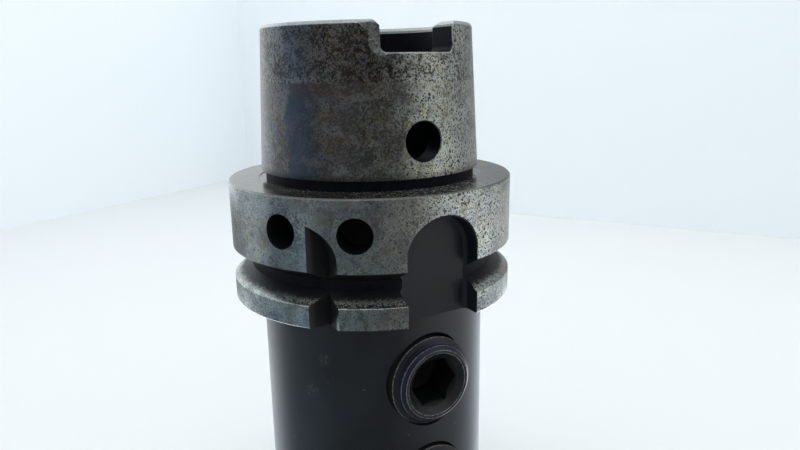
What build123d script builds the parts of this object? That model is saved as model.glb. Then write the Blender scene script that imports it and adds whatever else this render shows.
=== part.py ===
from build123d import *
import os
from math import cos, radians, sin, sqrt, tan

# Side-lock end mill holder with a hollow taper shank, in millimetres.
# The origin is the centre of the flange's contact face. +Z runs up the shank,
# and -Y points at the wide near keyway and at the two clamp screws.

# Hollow taper shank
shank_height = 32.0
gauge_d = 48.01
gauge_height = 6.3
taper_ratio = 9.98
shank_end_break = 0.7
neck_undercut = 0.93
neck_height = 1.85

# Shank hollow, from its mouth down
hollow_d = 32.0
mouth_chamfer_wide = 1.6
mouth_chamfer_deep = 1.2
shoulder_angle = 30.0
shoulder_top = 16.6
recess_d = 38.0
recess_floor = -4.0
seat_thread_d = 17.0
seat_thread_length = 14.0
seat_thread_chamfer = 0.8
coolant_d = 10.0

# Drive slots across the shank's end
slot_width = 16.0
slot_depth = 6.0
slot_corner_r = 1.2
slot_top_break = 1.1
slot_edge_break = 0.5

# Access hole through the shank's wall
access_d = 8.0
access_height = 9.0
access_break = 0.15

# Flange
flange_d = 63.0
flange_height = 26.0
face_gap = 1.7
face_recess = 0.25
face_break = 0.3
rim_break = 0.2

# Gripper groove, a trapezoid ring round the flange
groove_centre = 18.0
groove_angle = 60.0
groove_depth = 4.0
groove_bottom_width = 2.14

# Keyways, which run down out of the flange
keyway_top_centre = 12.5
keyway_width = 16.0
keyway_depth = 5.0
far_keyway_width = 18.0
far_keyway_depth = 5.0
keyway_corner_r = 1.0
keyway_break = 0.35

# Orientation notch at 45 degrees from the near keyway, with both walls as far off the axis
notch_wall = 20.0
notch_cutter_r = 8.0

# Blind holes in the flange's rim
blind_d = 7.0
blind_depth = 7.0
blind_drop = 7.1
drill_point_angle = 118.0
blind_angles = (32.8, 61.2)

# Body and tool bore
body_d = 50.8
body_fillet = 0.8
tool_bore_d = 25.4
tool_bore_depth = 62.0
tool_bore_chamfer = 0.8
nose_reach = 25.4
nose_chamfer = 1.5

# Clamp screws
upper_screw_drop = 40.9
screw_spacing = 25.4
screw_d = 19.05
screw_length = 15.0
screw_proud = 2.7
screw_clearance = 0.075
screw_lead = 2.025
screw_tip_chamfer = 1.5
socket_flats = 9.525
socket_depth = 9.0
socket_land = 0.65
hole_mouth_break = 0.9

# How far the cutters run past a surface, and how closely an edge has to match its place
past_rim = 2.0
match = 0.01

# Radii, heights and reaches that follow from these
end_r = gauge_d / 2 - (shank_height - gauge_height) / (2 * taper_ratio)
taper_base_r = gauge_d / 2 + (gauge_height - neck_height) / (2 * taper_ratio)
end_break_drop = shank_end_break / (2 * taper_ratio)
neck_r = taper_base_r - neck_undercut
hollow_r = hollow_d / 2
recess_r = recess_d / 2
shoulder_drop = (recess_r - hollow_r) / tan(radians(shoulder_angle))
seat_r = seat_thread_d / 2
seat_bottom = recess_floor - seat_thread_length
coolant_r = coolant_d / 2
flange_r = flange_d / 2
face_inner_r = neck_r + face_gap
groove_bottom_r = flange_r - groove_depth
groove_slope = tan(radians(groove_angle / 2))
groove_half_bottom = groove_bottom_width / 2
groove_half_top = groove_half_bottom + groove_depth * groove_slope
slot_half = slot_width / 2
slot_floor = shank_height - slot_depth
slot_lip = shank_height - slot_top_break
body_r = body_d / 2
tool_bore_r = tool_bore_d / 2
lower_screw_drop = upper_screw_drop + screw_spacing
nose_z = -(lower_screw_drop + nose_reach)
tool_bore_end = nose_z + tool_bore_depth
screw_drops = {"upper_clamp_screw": upper_screw_drop, "lower_clamp_screw": lower_screw_drop}
screw_r = screw_d / 2
screw_hole_r = screw_r + screw_clearance
hole_mouth_r = screw_hole_r + hole_mouth_break
screw_face_reach = body_r + screw_proud
screw_face_r = screw_r - screw_lead
socket_mouth_r = screw_face_r - socket_land
drill_point_ratio = tan(radians(drill_point_angle / 2))


def on_side(height, reach):
    # A plane that faces -Y, with its local x along +X and local y up
    return Plane(origin=(0, -reach, height), x_dir=(1, 0, 0), z_dir=(0, -1, 0))


def on_rim(edge, radius=flange_r):
    # True where both ends and the middle of an edge lie on a cylinder round Z
    spots = [edge.position_at(t) for t in (0, 0.5, 1)]
    return all(abs(sqrt(p.X**2 + p.Y**2) - radius) < match for p in spots)


def on_taper(edge):
    # True where both ends and the middle of an edge lie on the shank's taper
    spots = [edge.position_at(t) for t in (0, 0.5, 1)]
    radii = [gauge_d / 2 - (p.Z - gauge_height) / (2 * taper_ratio) for p in spots]
    return all(abs(sqrt(p.X**2 + p.Y**2) - r) < match for p, r in zip(spots, radii))


def in_slot(edge):
    # True for the outline of a drive slot, below the broken edge of the shank's end
    middle = edge.center()
    beside = abs(middle.X) < slot_width / 2 + slot_top_break
    return beside and slot_floor - match < middle.Z < shank_height - end_break_drop


# What a round-cornered cutter takes out of the flange for each keyway
keyway_cuts = []
for side, width, depth in ((1, keyway_width, keyway_depth), (-1, far_keyway_width, far_keyway_depth)):
    with BuildPart() as keyway_cut:
        keyway_floor = Plane(origin=(0, side * (depth - flange_r), 0), x_dir=(side, 0, 0), z_dir=(0, -side, 0))
        with BuildSketch(keyway_floor):
            with Locations((0, -keyway_top_centre)):
                Circle(width / 2)
                Rectangle(width, flange_height, align=(Align.CENTER, Align.MAX))
        extrude(amount=flange_r)
        fillet(keyway_cut.faces().sort_by(Axis.Y)[-1 if side > 0 else 0].edges(), keyway_corner_r)
    keyway_cuts.append(keyway_cut.part)

with BuildPart() as holder:
    # The turned form, as half a section spun round Z
    with BuildSketch(Plane.XZ) as section:
        with BuildLine() as outline:
            Polyline(
                # Down the outside: shank, neck, contact face
                (hollow_r + mouth_chamfer_wide, shank_height),
                (end_r - shank_end_break, shank_height),
                (end_r + end_break_drop, shank_height - shank_end_break),
                (taper_base_r, neck_height),
                (neck_r, neck_height),
                (neck_r, -face_recess),
                (face_inner_r - face_recess, -face_recess),
                (face_inner_r, 0),
                (flange_r - face_break, 0),
                (flange_r, -face_break),
                # Gripper groove
                (flange_r, -groove_centre + groove_half_top),
                (groove_bottom_r, -groove_centre + groove_half_bottom),
                (groove_bottom_r, -groove_centre - groove_half_bottom),
                (flange_r, -groove_centre - groove_half_top),
                # Lower disc, body and nose
                (flange_r, -flange_height + rim_break),
                (flange_r - rim_break, -flange_height),
                (body_r, -flange_height),
                (body_r, nose_z + nose_chamfer),
                (body_r - nose_chamfer, nose_z),
                (tool_bore_r + tool_bore_chamfer, nose_z),
                # Up the inside: tool bore, coolant hole, thread seat, hollow
                (tool_bore_r, nose_z + tool_bore_chamfer),
                (tool_bore_r, tool_bore_end),
                (coolant_r, tool_bore_end),
                (coolant_r, seat_bottom),
                (seat_r, seat_bottom),
                (seat_r, recess_floor - seat_thread_chamfer),
                (seat_r + seat_thread_chamfer, recess_floor),
                (recess_r, recess_floor),
                (recess_r, shoulder_top - shoulder_drop),
                (hollow_r, shoulder_top),
                (hollow_r, shank_height - mouth_chamfer_deep),
                close=True,
            )
        make_face()
    revolve(axis=Axis.Z)
    rings_under_flange = holder.edges().filter_by(GeomType.CIRCLE).filter_by_position(
        Axis.Z, -flange_height - match, -flange_height + match
    )
    fillet(rings_under_flange.sort_by(SortBy.RADIUS)[0], body_fillet)

    # Two drive slots, open at the top, with flared upper edges and round lower corners
    with BuildSketch(Plane.XZ) as slot_shape:
        with BuildLine():
            Polyline(
                (-slot_half, slot_floor),
                (-slot_half, slot_lip),
                (-slot_half - slot_top_break - past_rim, shank_height + past_rim),
                (slot_half + slot_top_break + past_rim, shank_height + past_rim),
                (slot_half, slot_lip),
                (slot_half, slot_floor),
                close=True,
            )
        make_face()
        fillet(slot_shape.vertices().group_by(Axis.Y)[0], slot_corner_r)
    extrude(amount=flange_r, both=True, mode=Mode.SUBTRACT)
    slot_edges = holder.edges().filter_by(on_taper).filter_by(in_slot)
    chamfer(slot_edges, slot_edge_break)

    # Access hole for the spindle's clamping key, through one wall
    with BuildSketch(on_side(access_height, gauge_d / 2 + past_rim)):
        Circle(access_d / 2)
    extrude(amount=-(gauge_d / 2 + past_rim - seat_r), mode=Mode.SUBTRACT)
    access_rim = holder.edges().filter_by(on_taper).filter_by_position(
        Axis.Z, access_height - access_d / 2, access_height + access_d / 2
    )
    chamfer(access_rim, access_break)

    # Near and far keyways, with their outlines broken on the rim
    for keyway in keyway_cuts:
        before = holder.edges()
        add(keyway, mode=Mode.SUBTRACT)
        middle = keyway.center().Y
        outline = [e for e in holder.edges() if e not in before and on_rim(e) and e.center().Y * middle > 0]
        chamfer([e for e in outline if abs(e.center().X) < far_keyway_width / 2 + match], keyway_break)

    # Orientation notch, left of the near keyway
    with BuildSketch(on_side(-keyway_top_centre, notch_wall)):
        with Locations((-notch_wall - notch_cutter_r, 0)):
            Circle(notch_cutter_r)
            Rectangle(2 * notch_cutter_r, flange_height, align=(Align.CENTER, Align.MAX))
    extrude(amount=flange_r, mode=Mode.SUBTRACT)

    # Blind holes drilled into the flange's rim, with a drill's point at the bottom
    for angle in blind_angles:
        out = Vector(-sin(radians(angle)), -cos(radians(angle)), 0)
        bottom = out * (flange_r - blind_depth) + Vector(0, 0, -blind_drop)
        with BuildSketch(Plane(origin=bottom, z_dir=out)):
            Circle(blind_d / 2)
        extrude(amount=blind_depth + past_rim, mode=Mode.SUBTRACT)
        point = blind_d / 2 / drill_point_ratio
        with Locations(Plane(origin=bottom - out * (point / 2), z_dir=out)):
            Cone(bottom_radius=0, top_radius=blind_d / 2, height=point, mode=Mode.SUBTRACT)

    # Clamp screw holes into the tool bore, with a countersunk mouth
    for drop in screw_drops.values():
        with Locations(on_side(-drop, body_r)):
            CounterSinkHole(screw_hole_r, hole_mouth_r, depth=body_r, counter_sink_angle=90)

holder.part.label = "holder_body"
os.makedirs("parts", exist_ok=True)
export_step(holder.part, "parts/holder_body.step")

# The two clamp screws, each built in its own hole, with a drill's point under the hexagon
for name, drop in screw_drops.items():
    with BuildPart() as screw:
        with BuildSketch(Plane.XY.offset(-drop)):
            with BuildLine():
                Polyline(
                    (0, socket_mouth_r - socket_flats / 2 - screw_face_reach),
                    (socket_flats / 2, socket_mouth_r - socket_flats / 2 - screw_face_reach),
                    (socket_mouth_r, -screw_face_reach),
                    (screw_face_r, -screw_face_reach),
                    (screw_r, screw_lead - screw_face_reach),
                    (screw_r, screw_length - screw_tip_chamfer - screw_face_reach),
                    (screw_r - screw_tip_chamfer, screw_length - screw_face_reach),
                    (0, screw_length - screw_face_reach),
                    close=True,
                )
            make_face()
        revolve(axis=Axis((0, 0, -drop), (0, 1, 0)))
        with BuildSketch(on_side(-drop, screw_face_reach)):
            RegularPolygon(socket_flats / 2, 6, major_radius=False)
        extrude(amount=-socket_depth, mode=Mode.SUBTRACT)
        point = socket_flats / 2 / drill_point_ratio
        with Locations(on_side(-drop, screw_face_reach - socket_depth - point / 2)):
            Cone(bottom_radius=0, top_radius=socket_flats / 2, height=point, mode=Mode.SUBTRACT)
    screw.part.label = name
    export_step(screw.part, f"parts/{name}.step")
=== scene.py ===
from math import cos, pi, radians, sin, sqrt, tan

import bmesh
import bpy
from mathutils import Matrix, Vector


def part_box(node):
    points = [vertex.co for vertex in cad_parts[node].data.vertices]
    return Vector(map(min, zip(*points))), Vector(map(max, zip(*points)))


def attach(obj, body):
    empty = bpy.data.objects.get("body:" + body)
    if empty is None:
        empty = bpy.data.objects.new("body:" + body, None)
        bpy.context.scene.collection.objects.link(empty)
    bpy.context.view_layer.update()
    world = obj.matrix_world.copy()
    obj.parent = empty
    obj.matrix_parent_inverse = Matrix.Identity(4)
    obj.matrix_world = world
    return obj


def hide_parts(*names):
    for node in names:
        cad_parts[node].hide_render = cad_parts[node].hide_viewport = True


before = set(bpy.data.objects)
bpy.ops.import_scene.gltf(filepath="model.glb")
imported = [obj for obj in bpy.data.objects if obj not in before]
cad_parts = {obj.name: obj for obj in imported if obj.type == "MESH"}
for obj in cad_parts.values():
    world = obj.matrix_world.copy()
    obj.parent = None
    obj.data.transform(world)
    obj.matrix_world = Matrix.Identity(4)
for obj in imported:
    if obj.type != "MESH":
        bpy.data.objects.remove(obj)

bl_info = {
    "name": "Side-lock end mill holder",
    "version": (1, 0, 0),
    "blender": (4, 5, 0),
    "location": "View3D > Sidebar > Tool holder",
    "description": "Makes a hollow taper end mill holder with its clamp screws, finishes and studio",
    "category": "Add Mesh",
}

MM = 0.001
SHELL_LOW, SHELL_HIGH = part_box("holder_body")
SCREW_LOW, SCREW_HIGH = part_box("upper_clamp_screw")
SCREWS = {"upper": "upper_clamp_screw", "lower": "lower_clamp_screw"}

# Steps of a full turn
TURN_STEPS = 192
SCREW_STEPS = 96
HOLE_STEPS = 48

# Faces that meet at less than this are shaded as one
SMOOTH = radians(28)
# Half the angle of a drill's point
DRILL_POINT = radians(59)
# Slope of the gripper groove's flanks and of the clamping shoulder
FLANK = radians(30)
# The blind holes' turn from the near keyway, clockwise from above, in degrees
BLIND_HOLES = (32.8, 61.2)

# Each lamp's name, place, size and power. All point at the origin.
LAMPS = (
    ("overhead", (0.05, 0.1, 0.75), 0.7, 4.4),
    ("left_fill", (-0.6, 0.25, 0.35), 0.4, 1.0),
    ("right_fill", (0.55, -0.1, 0.35), 0.4, 1.2),
)

# Where the cloth walls meet the table, in millimetres
WALL_HEM = ((-760, 37), (108, 542), (140, 560), (190, 455), (252.5, 266), (360, 99), (640, -330))

# What the steel mirrors round the shank, the flange and the body, from the back over the left, the camera and the
# right: place, brightness and blueness. Then what it mirrors from above.
SHANK_BAND = (
    (0, 0.62, 0.05), (0.04, 0.75, 0.05), (0.1, 1.2, 0.07), (0.15, 1.1, 0.07), (0.19, 0.75, 0.1), (0.22, 0.55, 0.13),
    (0.25, 0.55, 0.13), (0.28, 0.46, 0.13), (0.3, 0.37, 0.13), (0.35, 0.24, 0.05), (0.39, 0.2, 0.02),
    (0.42, 0.28, 0.02), (0.45, 0.24, 0.0), (0.49, 0.11, 0.0), (0.55, 0.11, 0.0), (0.6, 0.14, -0.04),
    (0.63, 0.34, -0.02), (0.67, 0.6, 0.0), (0.74, 0.78, 0.03), (0.765, 0.36, 0.02), (0.87, 0.42, 0.02),
    (0.97, 0.42, 0.05), (1, 0.62, 0.05),
)
FLANGE_BAND = (
    (0, 0.5, 0.05), (0.12, 0.26, 0.06), (0.15, 0.32, 0.06), (0.18, 0.45, 0.06), (0.22, 0.48, 0.06),
    (0.25, 0.38, 0.08), (0.27, 0.15, 0.12), (0.3, 0.12, 0.18), (0.33, 0.19, 0.22), (0.35, 0.3, 0.22),
    (0.39, 0.18, 0.1), (0.41, 0.13, 0.1), (0.44, 0.19, 0.17), (0.46, 0.18, 0.1), (0.56, 0.17, 0.0),
    (0.59, 0.27, -0.03), (0.62, 0.44, -0.03), (0.65, 0.76, -0.03), (0.68, 0.93, -0.01), (0.7, 0.95, 0.01),
    (0.74, 1.2, 0.03), (0.78, 1.25, 0.03), (0.81, 0.95, 0.0), (0.86, 0.68, 0.0), (1, 0.5, 0.03),
)
BODY_BAND = (
    (0, 2.0, 0.08), (0.15, 1.4, 0.08), (0.2, 0.54, 0.12), (0.225, 0.41, 0.15), (0.25, 0.37, 0.19),
    (0.28, 0.39, 0.22), (0.32, 0.32, 0.22), (0.36, 0.25, 0.2), (0.39, 0.19, 0.16), (0.42, 0.15, 0.12),
    (0.55, 0.145, 0.06), (0.61, 0.2, 0.05), (0.67, 0.36, 0.07), (0.75, 0.4, 0.09), (0.81, 0.62, 0.1),
    (0.84, 0.82, 0.1), (0.87, 1.4, 0.1), (0.9, 2.1, 0.08), (1, 2.1, 0.08),
)
CEILING = (0.62, 0.66, 0.70, 1)

# The camera: place in millimetres, then heading, dip and roll in degrees, then focal length and frame in pixels
CAMERA_PLACE = (-68.35, -134.197, 24.193)
CAMERA_HEADING, CAMERA_DIP, CAMERA_ROLL = -29.5, 13.7725, -0.95965
FOCAL_PX, FRAME_PX, SENSOR = 665.04, 800, 36

# Names of the finishes, in the order of the holder's material slots
GROUND, BLACK, MILLED, SHADED_RECESS, CUT = "Ground steel", "Black oxide", "Milled black oxide", "Sooted steel", "Fresh cut"

# Stains, dirt and wear, and painted shade, highlights and reflection, as linear colours
RUST = (0.15, 0.085, 0.06, 1)
RUBBED_LINE = (0.34, 0.34, 0.33, 1)
BARE_EDGE_AND_HIGHLIGHT = (0.8, 0.84, 0.81, 1)
EDGE_SHADE = (0.05, 0.055, 0.045, 1)
FOOT_DARK = (0.03, 0.026, 0.022, 1)
BROWN_FILM, BLUE_FILM = (0.34, 0.29, 0.22, 1), (0.26, 0.31, 0.38, 1)
PIT = (0.02, 0.018, 0.015, 1)
FACE_FILM_LIT_LEFT, FACE_FILM_SHADED_RIGHT, FACE_FILM_SHADED_FRONT = (0.25, 0.255, 0.23, 1), (0.09, 0.088, 0.078, 1), (0.07, 0.065, 0.058, 1)
HOLE_DIRT = (0.035, 0.03, 0.024, 1)
SHADED_OXIDE = (0.0015, 0.0015, 0.002, 1)
# Nearly black steel with painted shade, for the recesses
SHADED_RECESS_DARK, SHADED_RECESS_LIGHT = (0.0015, 0.002, 0.004, 1), (0.005, 0.006, 0.011, 1)
RUBBED_SCREW_HIGHLIGHT, SCREW_SHADE = (0.38, 0.40, 0.41, 1), (0.001, 0.001, 0.0015, 1)

# Scuffs on the body's oxide: place and reach in millimetres
SCUFFS = (((-21.8, -13.1, -43.0), 2.2), ((-19.9, -15.8, -35.4), 1.6), ((-5.2, -24.9, -30.4), 0.6))


def length(name, description, value):
    """A size in millimetres as a property in metres."""
    return bpy.props.FloatProperty(
        name=name, description=description, default=value * MM, subtype="DISTANCE", unit="LENGTH", precision=5
    )


def colour(name, description, value):
    return bpy.props.FloatVectorProperty(
        name=name, description=description, default=value, size=3, min=0, max=1, subtype="COLOR"
    )


class ShankSizes(bpy.types.PropertyGroup):
    height: length("Height", "Shank's end above the contact face", SHELL_HIGH.z / MM)
    gauge_r: length("Gauge radius", "Taper's radius at the gauge line", 24.005)
    gauge_height: length("Gauge height", "Gauge line above the contact face", 6.3)
    taper: bpy.props.FloatProperty(name="Taper", description="Length for each unit of diameter", default=9.98)
    end_break: length("End break", "Chamfer round the shank's end", 0.7)
    neck_height: length("Neck height", "Taper's lower edge above the contact face", 1.85)
    neck_undercut: length("Neck undercut", "How far the neck lies inside the taper", 0.93)
    hollow_r: length("Hollow radius", "Radius at the hollow's mouth", 16.0)
    mouth_wide: length("Mouth chamfer width", "Mouth chamfer across", 1.6)
    mouth_deep: length("Mouth chamfer depth", "Mouth chamfer down", 1.2)
    shoulder_top: length("Shoulder height", "Where the clamping shoulder starts", 16.6)
    recess_r: length("Recess radius", "Radius under the clamping shoulder", 19.0)
    recess_floor: length("Recess floor", "Bottom of the hollow", -4.0)
    seat_r: length("Seat radius", "Coolant tube seat", 8.5)
    seat_bottom: length("Seat bottom", "Bottom of the coolant tube seat", -18.0)
    coolant_r: length("Coolant hole radius", "Hole from the seat to the tool bore", 5.0)


class FlangeSizes(bpy.types.PropertyGroup):
    radius: length("Radius", "Flange's rim", SHELL_HIGH.x / MM)
    height: length("Height", "From the contact face down to the body", 26.0)
    ring_r: length("Contact ring radius", "Inner edge of the contact face", 24.998)
    recess: length("Face recess", "Step inside the contact face", 0.25)
    face_break: length("Face break", "Chamfer at the contact face's rim", 0.3)
    rim_break: length("Rim break", "Chamfer at the flange's lower edge", 0.2)
    groove_centre: length("Groove centre", "Middle of the gripper groove", 18.0)
    groove_depth: length("Groove depth", "Depth of the gripper groove", 4.0)
    groove_bottom: length("Groove bottom width", "Flat at the groove's bottom", 2.14)
    keyway_centre: length("Keyway arch centre", "Below the contact face", 12.5)
    keyway_width: length("Near keyway width", "Keyway on the clamp screws' side", 16.0)
    far_keyway_width: length("Far keyway width", "Keyway on the other side", 18.0)
    keyway_depth: length("Keyway depth", "From the rim", 5.0)
    keyway_corner: length("Keyway corner", "Corner radius at the keyway's floor", 1.0)
    notch_wall: length("Notch wall", "Orientation notch's walls from the axis", 20.0)
    notch_r: length("Notch cutter radius", "Round end of the notch", 8.0)
    blind_r: length("Blind hole radius", "Two balance holes in the rim", 3.5)
    blind_depth: length("Blind hole depth", "Balance holes' depth", 7.0)
    blind_drop: length("Blind hole drop", "Balance holes below the contact face", 7.1)


class BodySizes(bpy.types.PropertyGroup):
    radius: length("Radius", "Body", 25.4)
    fillet: length("Root fillet", "Between flange and body", 0.8)
    bore_r: length("Tool bore radius", "Bore for the end mill", 12.7)
    bore_depth: length("Tool bore depth", "From the nose", 62.0)
    bore_chamfer: length("Tool bore chamfer", "At the nose", 0.8)
    nose_chamfer: length("Nose chamfer", "Around the nose", 1.5)
    hole_r: length("Screw hole radius", "Clamp screw holes", 9.6)
    mouth_r: length("Screw hole mouth radius", "Countersink on the body", 10.5)


class SlotSizes(bpy.types.PropertyGroup):
    width: length("Width", "Drive slots", 16.0)
    depth: length("Depth", "Drive slots", 6.0)
    corner: length("Corner radius", "Lower corners of the drive slots", 1.2)
    top_break: length("Top break", "Flare at the top of the drive slots", 1.1)
    side_break: length("Side break", "Rounding of each drive slot's one outer side, along the taper", 2.3)
    sill_break: length("Sill break", "Rounding of the drive slots' outer floor edge", 0.3)
    inner_break: length("Inner break", "Rounding of the drive slots' edges in the hollow", 0.4)
    access_r: length("Access hole radius", "Hole for the spindle's key", 4.0)
    access_height: length("Access hole height", "Above the contact face", 9.0)


class ScrewSizes(bpy.types.PropertyGroup):
    radius: length("Radius", "Clamp screw's crest", 9.525)
    pitch: length("Pitch", "Clamp screw's thread", 1.5875)
    face_r: length("Face radius", "Flat ring round the socket", 7.5)
    end_r: length("End radius", "Plain end in front of the thread", 8.3)
    socket_mouth_r: length("Socket mouth radius", "Countersink of the socket", 6.85)
    socket_slope: bpy.props.FloatProperty(name="Socket slope", description="Countersink's slope in degrees", default=45)
    socket_flats: length("Socket across flats", "Hexagon socket", 9.525)
    socket_depth: length("Socket depth", "Hexagon socket", 9.0)
    tip_chamfer: length("Tip chamfer", "At the screw's inner end", 1.5)


class Finishes(bpy.types.PropertyGroup):
    steel: colour("Ground steel", "Clean ground steel", (0.46, 0.495, 0.46))
    stain: colour("Stain", "Brown stains on the ground steel", (0.062, 0.054, 0.046))
    # Colour of the painted dark bluish reflection down the shank's left
    blue: colour("Painted dark reflection", "Bluish painted reflection on the ground steel", (0.05, 0.08, 0.13))
    oxide: colour("Black oxide", "Blackened steel", (0.0075, 0.0105, 0.014))
    screw: colour("Screw oxide", "Blackened screws", (0.009, 0.0105, 0.0105))
    # Scales the screws' rubbed bright edges and their painted highlights
    wear: bpy.props.FloatProperty(
        name="Wear and highlight", description="How much bare steel and painted highlight show on the screws' edges", default=0.6, min=0, max=1,
        subtype="FACTOR"
    )


def deselect():
    if bpy.context.object and bpy.context.object.mode != "OBJECT":
        bpy.ops.object.mode_set(mode="OBJECT")
    bpy.ops.object.select_all(action="DESELECT")


def pick(piece):
    """Makes one object the only one that the next operators act on."""
    deselect()
    piece.select_set(True)
    bpy.context.view_layer.objects.active = piece


def smooth(piece, angle=SMOOTH):
    pick(piece)
    bpy.ops.object.shade_smooth_by_angle(angle=angle)


def edit(piece, mode, accept):
    """Starts editing one object, with only those edges or faces selected that accept takes."""
    pick(piece)
    bpy.ops.object.mode_set(mode="EDIT")
    bpy.ops.mesh.select_mode(type=mode)
    bpy.ops.mesh.select_all(action="DESELECT")
    mesh = bmesh.from_edit_mesh(piece.data)
    for part in mesh.edges if mode == "EDGE" else mesh.faces:
        if accept(part):
            part.select_set(True)
    bmesh.update_edit_mesh(piece.data)


def done():
    bpy.ops.object.mode_set(mode="OBJECT")


def outward():
    """Turns all faces outwards and stops editing."""
    bpy.ops.mesh.select_all(action="SELECT")
    bpy.ops.mesh.normals_make_consistent(inside=False)
    done()


def chain(name, points, close):
    """Draws a line through points: a plane merged to its centre, then one vertex pulled from point to point."""
    deselect()
    bpy.ops.mesh.primitive_plane_add(size=MM)
    piece = bpy.context.object
    piece.name = piece.data.name = name
    bpy.ops.object.mode_set(mode="EDIT")
    bpy.ops.mesh.select_mode(type="VERT")
    bpy.ops.mesh.select_all(action="SELECT")
    bpy.ops.mesh.merge(type="CENTER")
    bpy.ops.transform.translate(value=points[0])
    for here, there in zip(points, points[1:] + points[:1] * close):
        bpy.ops.mesh.extrude_vertices_move(TRANSFORM_OT_translate={"value": there - here})
    bpy.ops.mesh.select_all(action="SELECT")
    bpy.ops.mesh.remove_doubles(threshold=1e-7)
    return piece


def turned(name, outline, steps, at=None, close=True):
    """Spins a half section of (radius, height) points round Z, then turns the piece to stand along another axis."""
    piece = chain(name, [Vector((r, 0, z)) for r, z in outline], close)
    bpy.ops.mesh.spin(steps=steps, angle=2 * pi, center=(0, 0, 0), axis=(0, 0, 1))
    bpy.ops.mesh.select_all(action="SELECT")
    bpy.ops.mesh.remove_doubles(threshold=1e-6)
    outward()
    if at is not None:
        piece.data.transform(at)
    return piece


def prism(name, outline, at, depth):
    """Fills an outline of (x, z) points and pulls it depth towards -Y, then sets it in its place."""
    piece = chain(name, [Vector((x, 0, z)) for x, z in outline], True)
    bpy.ops.mesh.edge_face_add()
    bpy.ops.mesh.extrude_region_move(TRANSFORM_OT_translate={"value": (0, -depth, 0)})
    outward()
    piece.data.transform(at)
    return piece


def drawn_out(name, rings):
    """Fills the first ring of points and pulls it out through the other rings, point by point."""
    piece = chain(name, rings[0], True)
    bpy.ops.mesh.edge_face_add()
    for before, after in zip(rings, rings[1:]):
        bpy.ops.mesh.extrude_region_move()
        mesh = bmesh.from_edit_mesh(piece.data)
        for v in mesh.verts:
            if v.select:
                v.co = after[min(range(len(before)), key=lambda i: (before[i] - v.co).length)]
        bmesh.update_edit_mesh(piece.data)
    outward()
    return piece


def arc(centre, radius, start, stop, steps):
    """Points on an arc in the XZ plane, with its angles in degrees."""
    turn = [radians(start + (stop - start) * i / steps) for i in range(steps + 1)]
    return [(centre[0] + radius * cos(a), centre[1] + radius * sin(a)) for a in turn]


def drill(radius, bottom, reach):
    """Half section of a drill whose cone starts at bottom."""
    tip, top = bottom - radius / tan(DRILL_POINT), bottom + reach
    return [(0, tip), (radius, bottom), (radius, top), (0, top)]


def rotation(angle, axis):
    return Matrix.Rotation(radians(angle), 4, axis)


def facing_front(height):
    """Turns a piece's +Z towards -Y and raises it to a height."""
    return Matrix.Translation((0, 0, height)) @ rotation(90, "X")


def middle(node):
    low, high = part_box(node)
    return (low + high) / 2


def taper_slope():
    return 1 / (2 * bpy.context.scene.shank_sizes.taper)


def taper_r(z):
    """The shank's radius at a height above the contact face."""
    k = bpy.context.scene.shank_sizes
    return k.gauge_r - (z - k.gauge_height) * taper_slope()


def modify(piece, kind, **settings):
    """Adds a modifier to a piece, sets it up and applies it."""
    pick(piece)
    modifier = piece.modifiers.new(kind.title(), kind)
    for name, value in settings.items():
        setattr(modifier, name, value)
    bpy.ops.object.modifier_apply(modifier=modifier.name)


def cut(piece, cutter, finish=CUT):
    """Takes the cutter's shape out of the piece and gives the new faces the cutter's finish."""
    if not cutter.data.materials:
        cutter.data.materials.append(bpy.data.materials[finish])
    modify(piece, "BOOLEAN", operation="DIFFERENCE", object=cutter, solver="EXACT", material_mode="TRANSFER")
    bpy.data.objects.remove(cutter)


def slot_of(piece, finish):
    return piece.data.materials.find(finish)


def break_edges(piece, width, accept, finish=GROUND):
    """Chamfers the outline of the fresh cuts where accept(edge) holds, then blackens the cuts."""
    fresh = slot_of(piece, CUT)
    edit(piece, "EDGE", lambda e: {f.material_index == fresh for f in e.link_faces} == {True, False} and accept(e))
    bpy.ops.mesh.bevel(offset=width, offset_type="OFFSET", segments=1, clamp_overlap=False, loop_slide=False,
                       material=slot_of(piece, finish))
    done()
    for f in piece.data.polygons:
        if f.material_index == fresh:
            f.material_index = slot_of(piece, MILLED)


def paint(piece, finish, accept):
    """Gives a finish to the faces whose middle accept(radius, z) takes."""
    for f in piece.data.polygons:
        if accept(Vector(f.center.xy).length, f.center.z):
            f.material_index = slot_of(piece, finish)


def round_normals(piece):
    """Shades every turned face as a true surface of revolution, whatever the cuts beside it did to its corners."""
    mesh = piece.data
    milled = slot_of(piece, MILLED)
    normals = [Vector(n.vector) for n in mesh.corner_normals]
    for f in mesh.polygons:
        out = Vector((f.center.x, f.center.y, 0)).normalized()
        along = f.normal.dot(out)
        if f.material_index != milled and abs(f.normal.cross(out).z) < 0.02:
            for corner in f.loop_indices:
                point = mesh.vertices[mesh.loops[corner].vertex_index].co
                away = Vector((point.x, point.y, 0)).normalized() * along
                normals[corner] = Vector((away.x, away.y, f.normal.z)).normalized()
    mesh.normals_split_custom_set(normals)


# Shader maths


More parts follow.
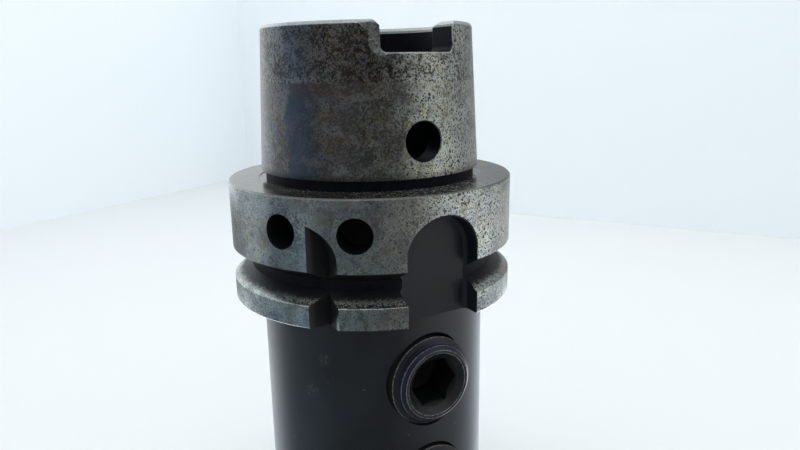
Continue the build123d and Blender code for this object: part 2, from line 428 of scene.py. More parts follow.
class Signal:
    """A shader socket. Sums, products and powers of signals add the Math nodes that they need."""

    def __init__(self, tree, socket):
        self.tree, self.socket = tree, socket

    def node(self, kind, settings=None, inputs=None, output=0):
        """Adds a node, sets it up, gives its sockets values or links, and returns one of its outputs."""
        made = self.tree.nodes.new(kind)
        for name, value in (settings or {}).items():
            if name == "stops":
                ramp = made.color_ramp
                while len(ramp.elements) < len(value):
                    ramp.elements.new(0.5)
                for element, (position, shade) in zip(ramp.elements, value):
                    element.position, element.color = position, shade
            else:
                setattr(made, name, value)
        for name, value in (inputs or {}).items():
            if isinstance(value, Signal):
                self.tree.links.new(value.socket, made.inputs[name])
            else:
                made.inputs[name].default_value = value
        return Signal(self.tree, made.outputs[output])

    def math(self, operation, *values):
        return self.node("ShaderNodeMath", {"operation": operation}, dict(enumerate(values)))

    def __add__(self, other):
        return self.math("ADD", self, other)

    def __sub__(self, other):
        return self.math("SUBTRACT", self, other)

    def __rsub__(self, other):
        return self.math("SUBTRACT", other, self)

    def __mul__(self, other):
        return self.math("MULTIPLY", self, other)

    def __pow__(self, other):
        return self.math("POWER", self, other)

    __radd__, __rmul__ = __add__, __mul__

    def most(self, other):
        return self.math("MAXIMUM", self, other)

    def least(self, other):
        return self.math("MINIMUM", self, other)

    def off(self, value):
        """How far the signal is from a value, either way."""
        return self.math("ABSOLUTE", self - value)

    def ramp(self, low, high):
        """0 below low, 1 above high (or the other way round), smooth between."""
        return self.node("ShaderNodeMapRange", {"interpolation_type": "SMOOTHSTEP"},
                         {"Value": self, "From Min": low, "From Max": high})

    def between(self, rise, fall):
        """0, then 1 past the rise, then 0 again past the fall."""
        return self.ramp(*rise) * (1 - self.ramp(*fall))

    def blend(self, first, second):
        """The first colour where this signal is 0, the second where it is 1."""
        return self.node("ShaderNodeMix", {"data_type": "RGBA"}, {0: self, 6: first, 7: second}, 2)

    def noise(self, scale, detail, roughness, distortion=0.0):
        return self.node("ShaderNodeTexNoise", None, {"Vector": self, "Scale": scale, "Detail": detail,
                                                      "Roughness": roughness, "Distortion": distortion})

    def cells(self, scale):
        return self.node("ShaderNodeTexVoronoi", None, {"Vector": self, "Scale": scale})

    def stretched(self, scale, place=(0, 0, 0)):
        return self.node("ShaderNodeMapping", None, {"Vector": self, "Location": place, "Scale": scale})

    def distance(self, point):
        return self.node("ShaderNodeVectorMath", {"operation": "DISTANCE"}, {0: self, 1: point}, 1)


def rgba(c, factor=1):
    """A colour with its alpha, darkened or lightened by a factor."""
    return (*(part * factor for part in c), 1.0)


def new_material(name):
    """A new material's Principled shader and its points in millimetres."""
    material = bpy.data.materials.new(name)
    material.use_nodes = True
    tree = material.node_tree
    shader = tree.nodes["Principled BSDF"]
    points = tree.nodes.new("ShaderNodeTexCoord").outputs["Object"]
    place = Signal(tree, points).node("ShaderNodeVectorMath", {"operation": "SCALE"},
                                      {0: Signal(tree, points), "Scale": 1 / MM})
    return shader, place


def feed(shader, **sockets):
    """Links signals to the shader's sockets and sets its constants."""
    for name, value in sockets.items():
        socket = shader.inputs[name.replace("_", " ")]
        if isinstance(value, Signal):
            value.tree.links.new(value.socket, socket)
        else:
            socket.default_value = value


def bump(height, strength, distance):
    return height.node("ShaderNodeBump", None, {"Strength": strength, "Distance": distance * MM, "Height": height})


def axes(place):
    """The X, Y and Z of points, as three signals."""
    split = place.node("ShaderNodeSeparateXYZ", None, {0: place}).socket.node
    return [Signal(place.tree, part) for part in split.outputs]


def ground_steel():
    """Bare ground steel: brown stains, pits and a painted dark reflection on the shank, specks on the flange, dirt and
    painted shade in the gripper groove.
    """
    f = bpy.context.scene.holder_finishes
    shader, place = new_material(GROUND)
    x, y, z = axes(place)
    radius = (x * x + y * y) ** 0.5
    angle = x.math("ARCTAN2", x, y * -1)
    patches = place.noise(0.24, 5, 0.6, 0.6)
    mottle = place.noise(1.0, 5, 0.72)
    specks = place.noise(2.3, 3, 0.65)
    grain = place.noise(4.6, 4, 0.75)
    tint = place.noise(0.13, 3, 0.6)
    hue = place.stretched((1, 1, 1), (40, 0, 0)).noise(0.3, 3, 0.6)
    fleck = mottle * 0.35 + specks * 0.45 + grain * 0.2
    uneven = patches - 0.5
    blotches = patches.ramp(0.42, 0.6)
    browner = tint.ramp(0.44, 0.56)
    violet = hue.ramp(0.45, 0.58)
    on_shank = z.ramp(0.2, 0.8)
    above_step = z.ramp(20.3, 20.6)

    # The shank is stained all over, least on the side of the near drive slot and key hole
    across = x + uneven * 14
    low_side = across.ramp(-19, -8) * 0.4 + across.ramp(-8, 2) * 0.6
    cleaner = above_step.math("MULTIPLY_ADD", above_step, across.ramp(-10, -1) - low_side, low_side)
    cleaner = cleaner * (1 - y.ramp(-8, 0))

    def patched(greenish, brownish, bluish):
        return violet.blend(browner.blend(rgba(greenish), rgba(brownish)), rgba(bluish))

    fog = patched((0.235, 0.25, 0.245), (0.285, 0.255, 0.21), (0.25, 0.243, 0.258))
    clear = patched((0.57, 0.63, 0.59), (0.58, 0.61, 0.50), (0.55, 0.60, 0.58))
    light = cleaner.blend(fog, clear)
    dark = cleaner.blend(rgba(f.stain, 0.75), rgba(f.stain, 1.3))
    contrast = (blotches * 0.35 + above_step * 0.4 + cleaner * 0.3 + 0.42).least(1)
    spread = (fleck + uneven * 0.35 - above_step * 0.015 + cleaner * 0.025).ramp(0.435, 0.54)
    stained = ((spread - 0.55) * contrast + 0.55).blend(dark, light)

    # A painted dark bluish reflection in a strip down the left, a rusty ring below the step and a rubbed line above it
    strip = (angle + (hue - 0.5) * 0.25).ramp(-1.26, -1.18) * (1 - (angle + (hue - 0.5) * 0.5).ramp(-1.05, -0.85))
    strip = strip * (1 - above_step * 0.55) * (0.7 + z.ramp(14, 18) * 0.3)
    stained = (strip * (0.62 + fleck.ramp(0.45, 0.53) * 0.28)).blend(stained, rgba(f.blue))
    rusty = angle.between((-1.25, -1.05), (-0.75, -0.35)) * 0.6 + blotches * 0.4
    ring = z.ramp(16.6, 19.8) * (1 - above_step) * rusty
    stained = (ring * (0.3 + fleck.ramp(0.53, 0.46) * 0.6)).blend(stained, RUST)
    line = z.between((20.4, 20.55), (21.2, 22.2)) * angle.ramp(-0.5, -0.9) * specks.ramp(0.42, 0.56)
    stained = (line * 0.45).blend(stained, RUBBED_LINE)

    # Bare metal and a painted highlight show on the end's edge and on the drive slots' rounded edges, which lie under
    # the taper; painted shade darkens the slots' edges towards the slot
    under = z * -taper_slope() + taper_r(0) / MM - radius
    slot_edge = under.ramp(0.01, 0.025) * z.ramp(25.4, 25.6)
    end_edge = z.ramp(31.15, 31.5) * (0.45 + grain.ramp(0.38, 0.5) * 0.55)
    worn_and_highlit = end_edge.most(slot_edge * (1 - under.ramp(0.05, 0.16) * 0.6) * (0.35 + specks.ramp(0.42, 0.52) * 0.35))
    stained = (slot_edge * under.ramp(0.05, 0.28) * (1 - end_edge) * 0.85).blend(stained, EDGE_SHADE)
    stained = (worn_and_highlit * 0.85).blend(stained, BARE_EDGE_AND_HIGHLIGHT)
    # The shank darkens towards its foot
    foot = z.ramp(3.6, 1.9) * (patches.ramp(0.40, 0.6) * 0.4 + 0.45) * (1 - cleaner * 0.4)
    stained = foot.blend(stained, FOOT_DARK)

    # The flange is nearly clean
    clean = (fleck + uneven * 0.4).ramp(0.4, 0.54).blend(rgba(f.steel, 0.42), rgba(f.steel, 1.2))
    clean = (tint.ramp(0.52, 0.66) * 0.5).blend(clean, BROWN_FILM)
    clean = (violet * 0.35).blend(clean, BLUE_FILM)
    tone = on_shank.blend(clean, stained)

    # Pits cluster in patches, most round the near keyway and beside the drive slot
    near_key = x.off(1).ramp(26, 7) * (1 - y.ramp(-16, -8))
    pitted = (patches * 0.55 + mottle * 0.45).ramp(0.42, 0.62) * 0.2 + near_key * 0.17
    coarse_pits = (pitted + 0.02 - place.cells(0.9)).ramp(0, 0.08)
    fine_pits = (pitted + 0.12 - place.cells(1.9)).ramp(0, 0.1) * mottle.ramp(0.40, 0.52)
    worms = (fleck + near_key * 0.01).ramp(0.545, 0.58) * on_shank * (0.15 + cleaner * 0.35) * contrast
    pits = coarse_pits.most(fine_pits).most(worms) * (1 - worn_and_highlit)
    tone = (pits * 0.9).blend(tone, PIT)

    # The contact face is browned by an oil film, with painted reflection on it: lighter on the left, darker to the
    # right and darkest at the front
    face = z.between((-0.32, -0.2), (0.05, 0.2))
    film_and_light = face * (0.75 + x.ramp(5, 20) * 0.1)
    tone = film_and_light.blend(tone, x.ramp(4, 22).blend(FACE_FILM_LIT_LEFT, FACE_FILM_SHADED_RIGHT))
    front = face * (x * -0.49 + y * -0.87).ramp(22, 27) * 0.6
    tone = front.blend(tone, FACE_FILM_SHADED_FRONT)

    # Brown dirt round the second blind hole
    away = place.distance((-17.4, -26.2, -6.4))
    smudge = away.ramp(6.5, 4) * specks.ramp(0.5, 0.6) + away.ramp(9, 5) * grain.ramp(0.55, 0.62) * 0.5
    tone = (smudge.least(1) * 0.6).blend(tone, HOLE_DIRT)

    # Dirt and painted shade cover the groove's flanks, more towards the bottom and all over the upper flank, but for
    # their rubbed outer edge
    in_groove = z.between((-21.9, -21.3), (-14.7, -14.1))
    dirt_and_shade = (radius * -1 + 30.5 + (fleck - 0.5) * 7).ramp(-0.4, 1.1).most(z.ramp(-18, -17))
    dirt_and_shade = dirt_and_shade * in_groove * radius.ramp(31.46, 31.4)
    tone = dirt_and_shade.blend(tone, rgba(f.oxide, 0.7))

    brushed = place.stretched((0.05, 0.05, 5)).noise(1.5, 3, 0.6)
    relief = grain * 0.35 + mottle * 0.35 + brushed * 0.3 - pits * 1.1
    feed(shader, Base_Color=tone, Metallic=(1 - pits * 0.6) * (1 - dirt_and_shade * 0.95) * (1 - face * 0.12),
         Roughness=0.17 + on_shank * 0.09 + pits * 0.3 + grain * 0.08 + dirt_and_shade * 0.25 - face * 0.06 - strip * 0.05,
         Normal=bump(relief, 0.3, 0.05))


def black_oxide(name, milled):
    """Blackened steel: nearly black, faintly blue, dulled by handling, with a few bright scratches and painted shade in
    its recesses.
    """
    f = bpy.context.scene.holder_finishes
    shader, place = new_material(name)
    x, y, z = axes(place)
    radius = (x * x + y * y) ** 0.5
    cloud = place.noise(0.1, 4, 0.6)
    grain = place.noise(2.4, 4, 0.7)
    tone = (cloud * 0.6 + grain * 0.4).ramp(0.32, 0.68).blend(rgba(f.oxide, 0.7), rgba(f.oxide, 1.4))
    if milled:
        # The lighter lower corner of the orientation notch, painted shade in the notch and the blind holes, and dust in
        # the near keyway
        recess_shade = x.ramp(-9, -10) * radius.ramp(31.2, 30.2)
        corner = (y * -0.695 + z * -0.719).ramp(33.1, 33.3) * x.off(-20).ramp(0.3, 0.1)
        bare = corner * z.ramp(-26.2, -25.9) * 0.8
        dust = place.cells(1.1).ramp(0.16, 0.08) * cloud.ramp(0.45, 0.6) * 0.5
        tone = dust.blend(tone, rgba(f.oxide, 4))
    else:
        # Painted shade in the band of the gripper groove
        recess_shade = z.between((-21.5, -21), (-15, -14.5))
        line = place.stretched((0.9, 0.9, 3.2), (0, 0, 7)).cells(0.16)
        bare = line.ramp(0.06, 0.03) * grain.ramp(0.44, 0.5) * 0.6
        streaks = place.stretched((1.3, 1.3, 3)).noise(1.6, 2, 0.6, 1.5).ramp(0.56, 0.62)
        for spot, reach in SCUFFS:
            bare = bare.most(place.distance(spot).ramp(reach, reach * 0.4) * streaks * 0.35)
    tone = bare.blend(tone, rgba(f.steel, 0.6))
    # Painted shade: darker and duller in the recesses
    tone = (recess_shade * 0.75).blend(tone, SHADED_OXIDE)
    feed(shader, Base_Color=tone, Metallic=bare * 0.9, Roughness=0.27 + cloud * 0.1 + grain * 0.06 + recess_shade * 0.35,
         Specular_IOR_Level=0.4 if milled else 0.65, Normal=bump(grain, 0.12, 0.03))


def shaded_recess_steel():
    """Dull, nearly black steel with painted shade, for the recesses: the hollow, the neck, the slots, the holes and the
    groove's bottom.
    """
    shader, place = new_material(SHADED_RECESS)
    cloud = place.noise(0.3, 3, 0.6)
    grain = place.noise(2.4, 4, 0.7)
    tone = (cloud * 0.5 + grain * 0.5).ramp(0.38, 0.62).blend(SHADED_RECESS_DARK, SHADED_RECESS_LIGHT)
    feed(shader, Base_Color=tone, Roughness=0.42 + cloud * 0.2, Specular_IOR_Level=0.12, Normal=bump(grain, 0.15, 0.03))


def screw_steel(name, height):
    """Blackened screw steel, bluish, rubbed bright and painted with highlights on the thread's crests and the socket's
    rim, and painted in shade in the socket and the sunk threads.
    """
    f = bpy.context.scene.holder_finishes
    s = bpy.context.scene.screw_sizes
    shader, place = new_material(name)
    x, y, z = axes(place)
    up = z - height / MM
    radius = (x * x + up * up) ** 0.5
    out = y * -1
    grain = place.noise(1.8, 4, 0.7)
    cloud = place.noise(0.35, 3, 0.6)

    def near(signal, value, width):
        return signal.off(value).ramp(width, width * 0.3)

    # Rubbed bright and painted as highlights: both edges of the flat ring, the plain end's edge and the thread's crests
    # near the face
    on_face = out.ramp(27.9, 28.0)
    ring = near(radius, 7.47, 0.14) * on_face + near(radius, 6.85, 0.12) * on_face
    ring = ring + near(radius, 8.3, 0.13) * near(out, 27.3, 0.25)
    crest = radius.ramp(s.radius / MM - 0.2, s.radius / MM - 0.05) * out.ramp(25.1, 25.6)
    rub_and_highlight = (ring + crest).least(1) * (0.15 + grain.ramp(0.42, 0.58) * 0.85)
    # Bluish tint on the plain end, with a painted highlight stronger towards the top
    navy = radius.between((7.5, 7.7), (8.5, 8.9)) * (0.2 + cloud.ramp(0.42, 0.58) * 0.4 + up.ramp(-6, 5) * 0.4)
    tone = (cloud.ramp(0.4, 0.6) * 0.4 + grain * 0.4).blend(rgba(f.screw, 0.8), rgba(f.screw, 1.7))
    tone = navy.blend(tone, rgba([f.screw[0] * 0.4, f.screw[1] * 0.6, f.screw[2] * 2.7]))
    tone = (rub_and_highlight * f.wear).blend(tone, RUBBED_SCREW_HIGHLIGHT)
    # Painted shade darkens the socket and the sunk threads
    deep = (radius.ramp(5.8, 5.5) * (1 - out.ramp(26.4, 27.2))).most(radius.ramp(8.2, 8.6) * out.ramp(25.6, 24.9))
    tone = (deep * 0.85).blend(tone, SCREW_SHADE)
    feed(shader, Base_Color=tone, Metallic=rub_and_highlight * 0.7, Roughness=0.25 + grain * 0.08 + deep * 0.4,
         Specular_IOR_Level=0.45, Normal=bump(grain, 0.08, 0.03))


# Pieces


class HOLDER_OT_finishes(bpy.types.Operator):
    """Makes the steel finishes"""

    bl_idname = "holder.finishes"
    bl_label = "Finishes"

    def execute(self, context):
        ground_steel()
        black_oxide(BLACK, False)
        black_oxide(MILLED, True)
        shaded_recess_steel()
        bpy.data.materials.new(CUT)
        return {"FINISHED"}


class HOLDER_OT_body(bpy.types.Operator):
    """Turns the holder's shank, flange and body, and mills its slots, keyways, notch and holes"""

    bl_idname = "holder.body"
    bl_label = "Holder"

    def outline(self, k, g, b):
        """Half section of the turned blank, from the hollow's mouth over the rim and the nose back to the hollow."""
        slope = taper_slope()
        end_r, base_r = taper_r(k.height), taper_r(k.neck_height)
        neck_r = base_r - k.neck_undercut
        groove_r = g.radius - g.groove_depth
        groove = -g.groove_centre
        half_bottom = g.groove_bottom / 2
        half_top = half_bottom + g.groove_depth * tan(FLANK)
        nose = SHELL_LOW.z
        edge = 0.12 * MM
        seat_break = 0.8 * MM
        shoulder_drop = (k.recess_r - k.hollow_r) / tan(FLANK)
        root = [(b.radius + b.fillet * (1 - cos(a)), -g.height - b.fillet * (1 - sin(a)))
                for a in (radians(90 - 22.5 * i) for i in range(5))]
        return [
            (k.hollow_r + k.mouth_wide, k.height),
            (end_r - k.end_break, k.height),
            (end_r - k.end_break * 0.35, k.height - k.end_break * 0.25),
            (end_r + k.end_break * slope, k.height - k.end_break),
            (base_r - edge * slope, k.neck_height + edge),
            (base_r - edge, k.neck_height),
            (neck_r, k.neck_height),
            (neck_r, -g.recess),
            (g.ring_r - g.recess, -g.recess),
            (g.ring_r, 0),
            (g.radius - g.face_break, 0),
            (g.radius, -g.face_break),
            (g.radius, groove + half_top + edge),
            (g.radius - edge, groove + half_top),
            (groove_r, groove + half_bottom),
            (groove_r, groove - half_bottom),
            (g.radius - edge, groove - half_top),
            (g.radius, groove - half_top - edge),
            (g.radius, -g.height + g.rim_break),
            (g.radius - g.rim_break, -g.height),
            *root,
            (b.radius, nose + b.nose_chamfer),
            (b.radius - b.nose_chamfer, nose),
            (b.bore_r + b.bore_chamfer, nose),
            (b.bore_r, nose + b.bore_chamfer),
            (b.bore_r, nose + b.bore_depth),
            (k.coolant_r, nose + b.bore_depth),
            (k.coolant_r, k.seat_bottom),
            (k.seat_r, k.seat_bottom),
            (k.seat_r, k.recess_floor - seat_break),
            (k.seat_r + seat_break, k.recess_floor),
            (k.recess_r, k.recess_floor),
            (k.recess_r, k.shoulder_top - shoulder_drop),
            (k.hollow_r, k.shoulder_top),
            (k.hollow_r, k.height - k.mouth_deep),
        ]

    def blacken(self, piece, k, g, b):
        """Oxide on the body and in the bore, painted shade in the groove's bottom, the hollow and the neck."""
        near = 0.2 * MM
        paint(piece, BLACK, lambda r, z: z < -g.height - 0.1 * MM)
        paint(piece, SHADED_RECESS, lambda r, z: abs(z + g.groove_centre) < g.groove_bottom / 2 and r < g.radius)
        paint(piece, SHADED_RECESS, lambda r, z: r < k.hollow_r + near and k.seat_bottom < z < k.height - k.mouth_deep)
        paint(piece, BLACK, lambda r, z: r < b.radius - b.nose_chamfer and z < k.seat_bottom)
        paint(piece, SHADED_RECESS, lambda r, z: r < k.recess_r + near and k.seat_bottom < z < k.shoulder_top)
        paint(piece, SHADED_RECESS, lambda r, z: (k.recess_r + MM < r < k.gauge_r - 0.05 * MM
                                         and -g.recess < z < k.neck_height + 0.05 * MM))

    def cut_drive_slots(self, piece, k, s):
        """Cuts across the shank's end, with edges rounded as the cutter widens towards the outside."""
        half, lip, floor = s.width / 2, k.height - s.top_break, k.height - s.depth
        past, far = 2 * MM, 30 * MM
        steps = 5
        # (x, z), the way out of the slot there, and the share of the side's wider break
        side = []
        for i, (x, z) in enumerate(arc((half - s.corner, floor + s.corner), s.corner, -90, 0, steps)):
            a = radians(-90 + 90 * i / steps)
            side.append((x, z, cos(a), sin(a), i / steps))
        side.append((half, lip, 1, -tan(radians(22.5)), 1))
        side.append((half + s.top_break + past, k.height + past, cos(radians(45)), -cos(radians(45)), 1))
        sill = [((half - s.corner) * (i / 4 - 1), floor, 0, -1, 0) for i in range(1, 8)]
        shape = sill + side + [(-x, z, -u, v, part) for x, z, u, v, part in reversed(side)]

        def ring(sign, beside, under, outer):
            """One ring of the cutter, by its shares of the edge's break beside the slot and under the surface."""
            points = []
            for x, z, u, v, part in shape:
                wide = s.sill_break + (s.side_break - s.sill_break) * part * (x * sign > 0) if outer else s.inner_break
                x, z = x + u * wide * beside, z + v * wide * beside
                deep = (s.sill_break if outer else s.inner_break) * under
                wall = sqrt((taper_r(z) if outer else k.hollow_r) ** 2 - x * x)
                points.append(Vector((x, sign * (wall - deep if outer else wall + deep), z)))
            return points

        def flat(sign):
            return [Vector((p.x, sign * far, p.z)) for p in ring(sign, 1, 0, True)]

        # From the outside in: a chamfer with softened ends, then the wall, then the rounded edge in the hollow
        outside = ((1, -0.05), (0.9, 0.08), (0.5, 0.2), (0.2, 0.45), (0, 1))
        inside = ((0, 1), (0.3, 0.3), (1, 0))
        half_way = [(*share, True) for share in outside] + [(*share, False) for share in inside]
        rings = [flat(-1)] + [ring(-1, *turn) for turn in half_way] + [ring(1, *turn) for turn in reversed(half_way)]
        cutter = drawn_out("slot_cutter", rings + [flat(1)])
        # The slot's inner faces take the painted shade, its outer breaks ground steel
        for finish in (SHADED_RECESS, GROUND):
            cutter.data.materials.append(bpy.data.materials[finish])
        for f in cutter.data.polygons:
            f.material_index = f.center.xy.length > taper_r(f.center.z) - s.sill_break or f.center.z > lip + 0.01 * MM
        cut(piece, cutter)

    def cut_access_hole(self, piece, k, s):
        """Drills the hole for the spindle's key, and breaks its edge on the taper."""

        def on_taper(e):
            return all(abs(v.co.xy.length - taper_r(v.co.z)) < 0.02 * MM for v in e.verts)

        start, reach = 15 * MM, 12 * MM
        tool = [(0, 0), (s.access_r, 0), (s.access_r, reach), (0, reach)]
        turn = Matrix.Translation((0, -start, 0)) @ facing_front(s.access_height)
        cut(piece, turned("access_cutter", tool, HOLE_STEPS, turn, False))
        break_edges(piece, 0.2 * MM, on_taper)
        # The hole's inside takes the painted shade
        paint(piece, SHADED_RECESS, lambda r, z: k.hollow_r < r < k.gauge_r - 0.5 * MM and abs(z - s.access_height) < s.access_r)

    def cut_flange(self, piece, g):
        """Mills both keyways, the orientation notch and the blind holes, and breaks the keyways' edges on the rim."""
        low = -g.height - 3 * MM
        reach = 10 * MM

        def arch(r):
            return [(-r, low), (r, low), *arc((0, -g.keyway_centre), r, 0, 180, 40)]

        for half_turn, width in ((0, g.keyway_width), (180, g.far_keyway_width)):
            place = Matrix.Translation((0, -(g.radius - g.keyway_depth), 0))
            cutter = prism("keyway_cutter", arch(width / 2), place, reach)
            edit(cutter, "FACE", lambda f: abs(f.normal.y - 1) < 0.01)
            bpy.ops.mesh.bevel(offset=g.keyway_corner, segments=4)
            done()
            if half_turn:
                cutter.data.transform(rotation(half_turn, "Z"))
            cut(piece, cutter)

        place = Matrix.Translation((-g.notch_wall - g.notch_r, -g.notch_wall, 0))
        cut(piece, prism("notch_cutter", arch(g.notch_r), place, reach * 1.5))

        for angle in BLIND_HOLES:
            tool = drill(g.blind_r, g.radius - g.blind_depth, reach)
            turn = rotation(-angle, "Z") @ facing_front(-g.blind_drop)
            cut(piece, turned("drill", tool, HOLE_STEPS, turn, False))

        def on_rim(e):
            return all(abs(v.co.xy.length - g.radius) < 0.03 * MM and abs(v.co.x) < g.far_keyway_width * 0.6
                       for v in e.verts)

        break_edges(piece, 0.3 * MM, on_rim, MILLED)

    def cut_screw_holes(self, piece, b):
        """Drills and countersinks the holes of the clamp screws."""
        start = past = 5 * MM
        tool = [(0, start), (b.hole_r, start), (b.hole_r, b.radius - (b.mouth_r - b.hole_r)),
                (b.mouth_r + past, b.radius + past), (0, b.radius + past)]
        for node in SCREWS.values():
            # The holes' walls take the painted shade
            cut(piece, turned("screw_hole_cutter", tool, HOLE_STEPS * 2, facing_front(middle(node).z), False), SHADED_RECESS)

    def execute(self, context):
        scene = context.scene
        k, g, b, s = scene.shank_sizes, scene.flange_sizes, scene.body_sizes, scene.slot_sizes
        piece = turned("holder_dressed", self.outline(k, g, b), TURN_STEPS)
        for finish in (GROUND, BLACK, MILLED, SHADED_RECESS, CUT):
            piece.data.materials.append(bpy.data.materials[finish])
        self.blacken(piece, k, g, b)
        self.cut_drive_slots(piece, k, s)
        self.cut_access_hole(piece, k, s)
        self.cut_flange(piece, g)
        self.cut_screw_holes(piece, b)
        smooth(piece)
        modify(piece, "WEIGHTED_NORMAL", keep_sharp=True)
        round_normals(piece)
        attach(piece, "holder")
        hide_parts("holder_body")
        return {"FINISHED"}


class HOLDER_OT_clamp_screws(bpy.types.Operator):
    """Makes the two threaded clamp screws with their hexagon sockets"""

    bl_idname = "holder.clamp_screws"
    bl_label = "Clamp screws"

    def execute(self, context):
        w = context.scene.screw_sizes
        face, tip = -SCREW_LOW.y, -SCREW_HIGH.y
        thread_end, thread_break, plain_end, soft = 2.2 * MM, 0.2 * MM, 1.35 * MM, 0.08 * MM
        outline = [
            (0, tip), (w.radius - w.tip_chamfer, tip), (w.radius, tip + w.tip_chamfer),
            (w.radius, face - thread_end), (w.radius - thread_break, face - thread_end + thread_break),
            (w.end_r, face - plain_end), (w.end_r, face - w.end_r + w.face_r),
            (w.face_r + soft, face - soft), (w.face_r - soft * 0.75, face),
            (w.socket_mouth_r, face), (0, face - w.socket_mouth_r * tan(radians(w.socket_slope))),
        ]
        # A small turn keeps its facets off those of the cutters
        master = turned("clamp_screw", outline, SCREW_STEPS, rotation(1.1, "Z"), False)
        master.data.materials.append(bpy.data.materials[CUT])
        # Hexagon socket with a drill's point under it
        deselect()
        past, corner = 5 * MM, radians(30)
        deep = w.socket_depth + past
        bpy.ops.mesh.primitive_cylinder_add(vertices=6, radius=w.socket_flats / 2 / cos(corner), depth=deep,
                                            location=(0, 0, face + past - deep / 2), rotation=(0, 0, corner))
        hexagon = bpy.context.object
        bpy.ops.object.transform_apply(location=True, rotation=True, scale=True)
        cut(master, hexagon)
        tool = drill(w.socket_flats / 2 - 0.05 * MM, face - w.socket_depth, MM)
        cut(master, turned("drill", tool, HOLE_STEPS, close=False))
        # Thread groove: its section, with heights in pitches, carried round the axis by the Screw modifier
        root = w.radius - 0.65 * w.pitch
        crest = 0.1 * MM
        section = [(root, -0.07), (root, 0.07), (w.radius - crest, 0.38), (w.radius + crest, 0.49),
                   (w.radius + crest, -0.49), (w.radius - crest, -0.38)]
        groove = chain("groove_cutter", [Vector((r, 0, tip + (h - 1) * w.pitch)) for r, h in section], True)
        done()
        modify(groove, "SCREW", axis="Z", angle=2 * pi, screw_offset=w.pitch, iterations=12,
               steps=64, render_steps=64, use_merge_vertices=True, merge_threshold=1e-6)
        edit(groove, "EDGE", lambda e: len(e.link_faces) == 1)
        bpy.ops.mesh.fill_holes(sides=8)
        outward()
        cut(master, groove)
        smooth(master)
        for side, node in SCREWS.items():
            pick(master)
            bpy.ops.object.duplicate()
            piece = context.object
            piece.name = piece.data.name = side + "_screw_threaded"
            height = middle(node).z
            screw_steel("Screw steel " + side, height)
            piece.data.materials[0] = bpy.data.materials["Screw steel " + side]
            piece.data.transform(facing_front(height))
            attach(piece, side + "_screw")
            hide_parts(node)
        bpy.data.objects.remove(master)
        return {"FINISHED"}


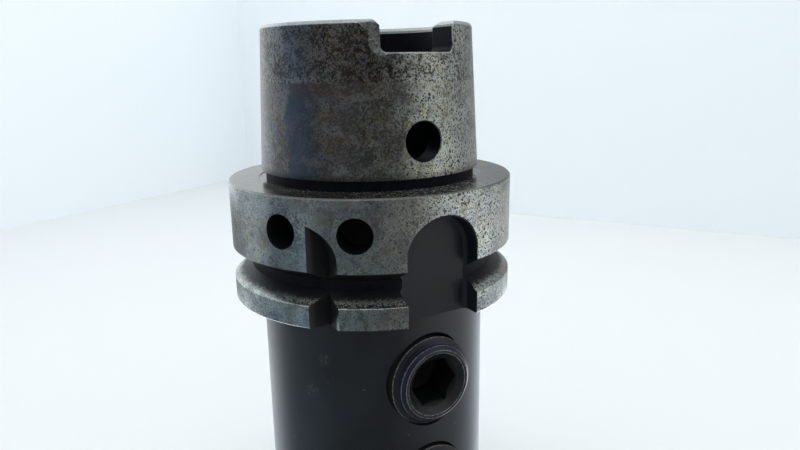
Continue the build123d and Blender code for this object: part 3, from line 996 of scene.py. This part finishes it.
class HOLDER_OT_studio(bpy.types.Operator):
    """Sets up the pale table and walls, the lights and the camera"""

    bl_idname = "holder.studio"
    bl_label = "Studio"

    def plain(self, name, shade):
        """A dull material of one colour."""
        material = bpy.data.materials.new(name)
        material.use_nodes = True
        feed(material.node_tree.nodes["Principled BSDF"], Base_Color=rgba(shade), Roughness=0.9)
        return material

    def table_and_walls(self):
        deselect()
        floor = SHELL_LOW.z
        bpy.ops.mesh.primitive_plane_add(size=3, location=(0, 0, floor))
        table = bpy.context.object
        table.name = "table"
        table.data.materials.append(self.plain("Pale table", (0.665, 0.685, 0.69)))
        table.visible_glossy = False
        # One sheet of cloth makes both walls: it meets the table along its hem
        wall = chain("tent_wall", [Vector((x * MM, y * MM, floor)) for x, y in WALL_HEM], False)
        bpy.ops.mesh.extrude_region_move(TRANSFORM_OT_translate={"value": (0, 0, 0.8)})
        done()
        wall.data.materials.append(self.plain("Tent cloth", (0.88, 0.92, 0.95)))
        wall.visible_glossy = False
        smooth(wall, radians(50))

    def lights(self, scene):
        scene.world = bpy.data.worlds.new("Room")
        scene.world.use_nodes = True
        feed(scene.world.node_tree.nodes["Background"], Color=(0.93, 0.98, 1.0, 1), Strength=0.72)
        for name, place, size, power in LAMPS:
            deselect()
            bpy.ops.object.light_add(type="AREA", location=place)
            lamp = bpy.context.object
            lamp.name = name
            lamp.data.shape, lamp.data.size, lamp.data.energy = "DISK", size, power
            lamp.rotation_euler = (-Vector(place)).to_track_quat("-Z", "Y").to_euler()
            lamp.visible_glossy = False

    def reflections(self):
        """What the steel mirrors from the room: pale walls behind, the room's dark side behind the camera."""
        deselect()
        bpy.ops.mesh.primitive_uv_sphere_add(segments=64, ring_count=32, radius=1.4)
        room = bpy.context.object
        room.name = "room_reflection"
        material = bpy.data.materials.new("Room reflection")
        material.use_nodes = True
        tree = material.node_tree
        tree.nodes.clear()
        x, y, z = axes(Signal(tree, tree.nodes.new("ShaderNodeTexCoord").outputs["Object"]))
        # Angle round the part from the camera's side, -1 to 1, positive to the right
        heading = radians(CAMERA_HEADING)
        ahead = x * sin(heading) - y * cos(heading)
        aside = x * cos(heading) + y * sin(heading)
        turn = aside.math("ARCTAN2", aside, ahead) * (1 / pi)
        shade = turn.node("ShaderNodeMapRange", None, {"Value": turn, "From Min": -1.0, "From Max": 1.0})

        def band(stops):
            shades = [(place, (light * (1 - blue), light, light * (1 + blue), 1)) for place, light, blue in stops]
            return shade.node("ShaderNodeValToRGB", {"stops": shades}, {0: shade})

        # The bands take over from each other down the dome, and the ceiling covers its top
        tint = z.ramp(-0.25, -0.27).blend(band(SHANK_BAND), band(FLANGE_BAND))
        tint = z.ramp(-0.45, -0.53).blend(tint, band(BODY_BAND))
        tint = z.ramp(0.7, 1.1).blend(tint, CEILING)
        glow = tint.node("ShaderNodeEmission", None, {"Color": tint, "Strength": 1.0})
        out = tree.nodes.new("ShaderNodeOutputMaterial")
        tree.links.new(glow.socket, out.inputs["Surface"])
        room.data.materials.append(material)
        room.visible_camera = room.visible_diffuse = room.visible_shadow = False
        room.visible_transmission = room.visible_volume_scatter = False

    def camera(self, scene):
        deselect()
        bpy.ops.object.camera_add()
        camera = bpy.context.object
        camera.name = "camera"
        camera.data.sensor_width = SENSOR
        camera.data.lens = FOCAL_PX * SENSOR / FRAME_PX
        camera.data.clip_start, camera.data.clip_end = 0.01, 10
        camera.matrix_world = (Matrix.Translation(Vector(CAMERA_PLACE) * MM) @ rotation(CAMERA_HEADING, "Z")
                               @ rotation(90 - CAMERA_DIP, "X") @ rotation(CAMERA_ROLL, "Z"))
        scene.camera = camera

    def execute(self, context):
        context.scene.view_settings.view_transform = "Standard"
        self.table_and_walls()
        self.lights(context.scene)
        self.reflections()
        self.camera(context.scene)
        return {"FINISHED"}


class HOLDER_PT_panel(bpy.types.Panel):
    """Lists the holder's pieces and sizes"""

    bl_idname = "HOLDER_PT_panel"
    bl_label = "End mill holder"
    bl_space_type = "VIEW_3D"
    bl_region_type = "UI"
    bl_category = "Tool holder"

    def draw(self, context):
        for operator in OPERATORS:
            self.layout.operator(operator.bl_idname)
        for name in SIZES:
            box = self.layout.box()
            group = getattr(context.scene, name)
            for field in group.__annotations__:
                box.prop(group, field)


SIZES = {
    "shank_sizes": ShankSizes,
    "flange_sizes": FlangeSizes,
    "body_sizes": BodySizes,
    "slot_sizes": SlotSizes,
    "screw_sizes": ScrewSizes,
    "holder_finishes": Finishes,
}
OPERATORS = (HOLDER_OT_finishes, HOLDER_OT_body, HOLDER_OT_clamp_screws, HOLDER_OT_studio)


def register():
    for c in (*SIZES.values(), *OPERATORS, HOLDER_PT_panel):
        bpy.utils.register_class(c)
    for name, group in SIZES.items():
        setattr(bpy.types.Scene, name, bpy.props.PointerProperty(type=group))


def unregister():
    for name in SIZES:
        delattr(bpy.types.Scene, name)
    for c in reversed((*SIZES.values(), *OPERATORS, HOLDER_PT_panel)):
        bpy.utils.unregister_class(c)


def main():
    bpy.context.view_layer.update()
    register()
    bpy.ops.holder.finishes()
    bpy.ops.holder.body()
    bpy.ops.holder.clamp_screws()
    bpy.ops.holder.studio()


if __name__ == "__main__":
    main()
